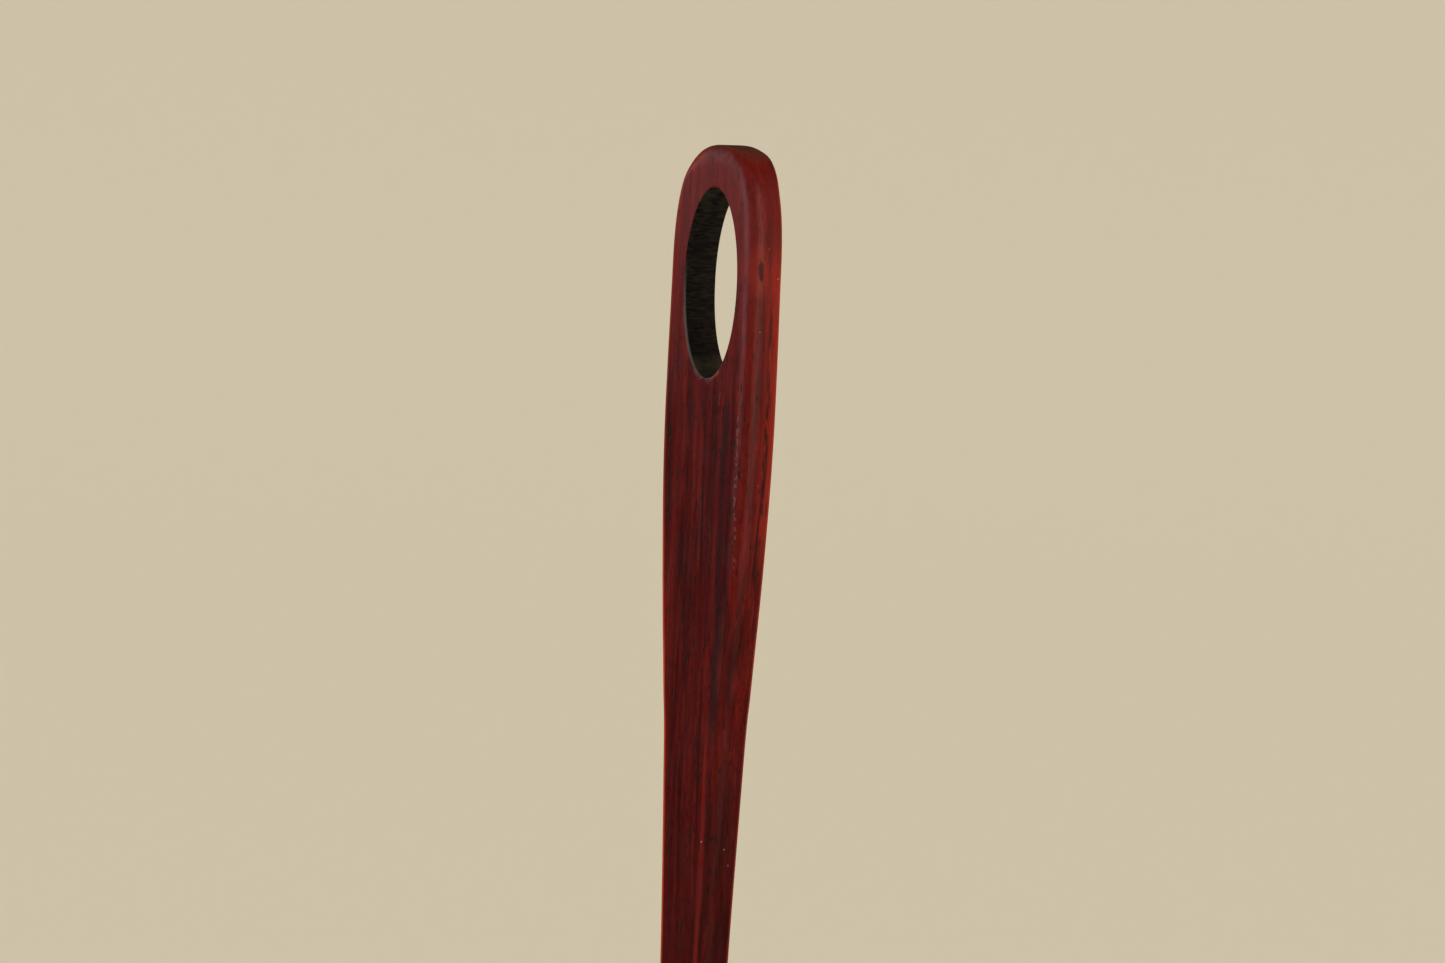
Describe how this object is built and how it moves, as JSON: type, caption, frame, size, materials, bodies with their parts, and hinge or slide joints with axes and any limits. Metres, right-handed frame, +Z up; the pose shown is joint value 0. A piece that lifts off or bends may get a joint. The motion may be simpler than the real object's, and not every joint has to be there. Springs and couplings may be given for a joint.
{
  "type": "ribbon loop clay modeling tool",
  "caption": "Slim hardwood clay modeling tool: flat handle with a long hanging eye in its head, brass ferrule and pear-shaped steel ribbon loop for trimming and hollowing clay.",
  "frame": {"origin": "top of the eye's inner wall, midway through the handle's thickness, where a peg bears when the tool hangs", "axes": "+Z up along the handle from the ribbon loop to the head; -Y out of the front flat face, +Y out of the back flat face; +X across the handle"},
  "size_m": [0.014, 0.0048, 0.177],
  "materials": {
    "red_hardwood": "satin oiled dark red hardwood with fine straight grain; the wall of the eye is burnt black",
    "ferrule_brass": "satin brass, lightly tarnished",
    "ribbon_steel": "brushed spring steel with ground edges",
    "wedge_wood": "plain sawn hardwood",
    "rivet_brass": "peened brass wire"
  },
  "bodies": {
    "root": {"handle": "red_hardwood", "ferrule": "ferrule_brass", "ribbon_loop": "ribbon_steel", "tang_wedge": "wedge_wood", "ferrule_rivet": "rivet_brass"}
  },
  "joints": []
}
